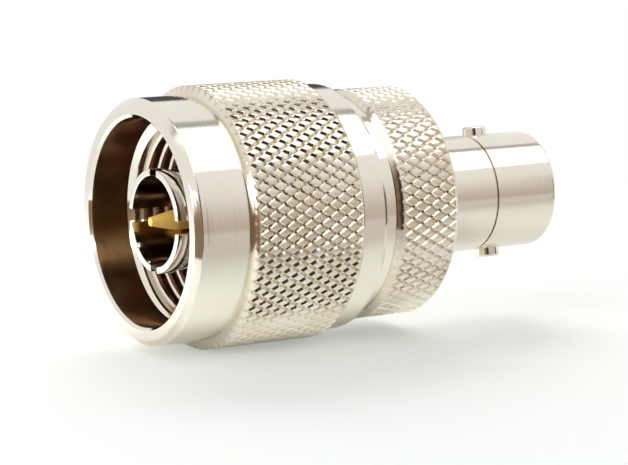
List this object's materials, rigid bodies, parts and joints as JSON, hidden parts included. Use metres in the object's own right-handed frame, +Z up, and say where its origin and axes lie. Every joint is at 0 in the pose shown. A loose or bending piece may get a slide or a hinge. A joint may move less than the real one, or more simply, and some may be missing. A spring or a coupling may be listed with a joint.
{
  "type": "n plug to bnc jack coaxial adapter",
  "caption": "Coaxial adapter with a free-turning knurled coupling nut round an N plug at one end and a bayonet BNC jack with radial lugs at the other.",
  "frame": {"origin": "centre of the coupling nut's front rim, on the common axis", "axes": "+X along the axis from the N plug to the BNC jack, +Z up"},
  "size_m": [0.0369, 0.0208, 0.0208],
  "materials": {
    "nickel_brass": "nickel plated, turned and knurled",
    "bright_contact": "bright plated bronze",
    "spring_bronze": "drawn spring bronze",
    "gold_contact": "gold plated",
    "white_plastic": "turned fluoropolymer, waxy",
    "seal_rubber": "moulded silicone, matte"
  },
  "bodies": {
    "body": {"nut_retaining_ring": "spring_bronze", "front_gasket": "seal_rubber", "n_outer_contact": "bright_contact", "front_body": "nickel_brass", "rear_body": "nickel_brass", "bayonet_lug_upper": "nickel_brass", "bayonet_lug_lower": "nickel_brass", "n_insulator": "white_plastic", "bnc_insulator": "white_plastic", "centre_pin": "gold_contact", "centre_socket": "gold_contact"},
    "nut": {"coupling_nut": "nickel_brass"}
  },
  "joints": [
    {"name": "nut_spin", "type": "hinge", "parent": "body", "child": "nut", "pos_m": [0.008, 0, 0], "axis": [1, 0, 0], "continuous": true}
  ]
}
